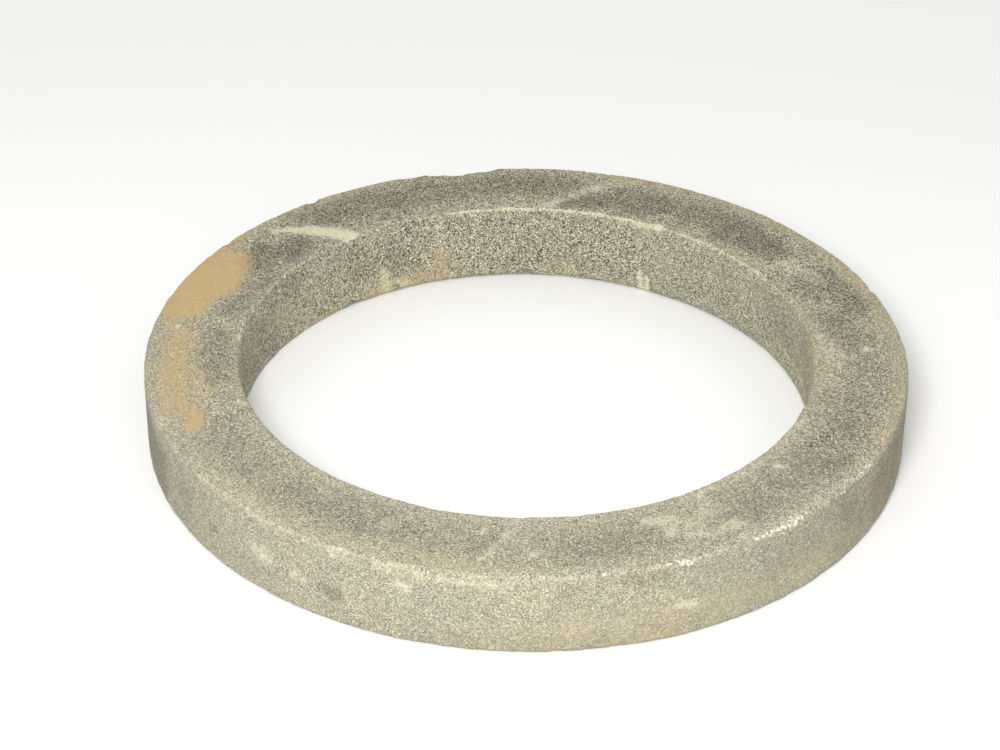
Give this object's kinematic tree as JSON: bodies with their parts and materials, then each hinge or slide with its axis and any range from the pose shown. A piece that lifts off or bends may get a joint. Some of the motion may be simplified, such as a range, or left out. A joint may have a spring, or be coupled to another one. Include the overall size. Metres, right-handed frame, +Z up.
{
  "type": "precast concrete manhole adjusting ring",
  "caption": "Flat precast concrete ring with a wide clear bore, laid on a manhole cone or cover slab to bring the frame up to surface level.",
  "frame": {"origin": "centre of the bore, on the plane of the lower bed face that the ring lies on", "axes": "+Z up along the bore's axis, from the bed towards the seat; X and Y are free, because the ring is round"},
  "size_m": [0.87, 0.87, 0.1],
  "materials": {
    "weathered_concrete": "matte"
  },
  "bodies": {
    "root": {"adjusting_ring": "weathered_concrete"}
  },
  "joints": []
}
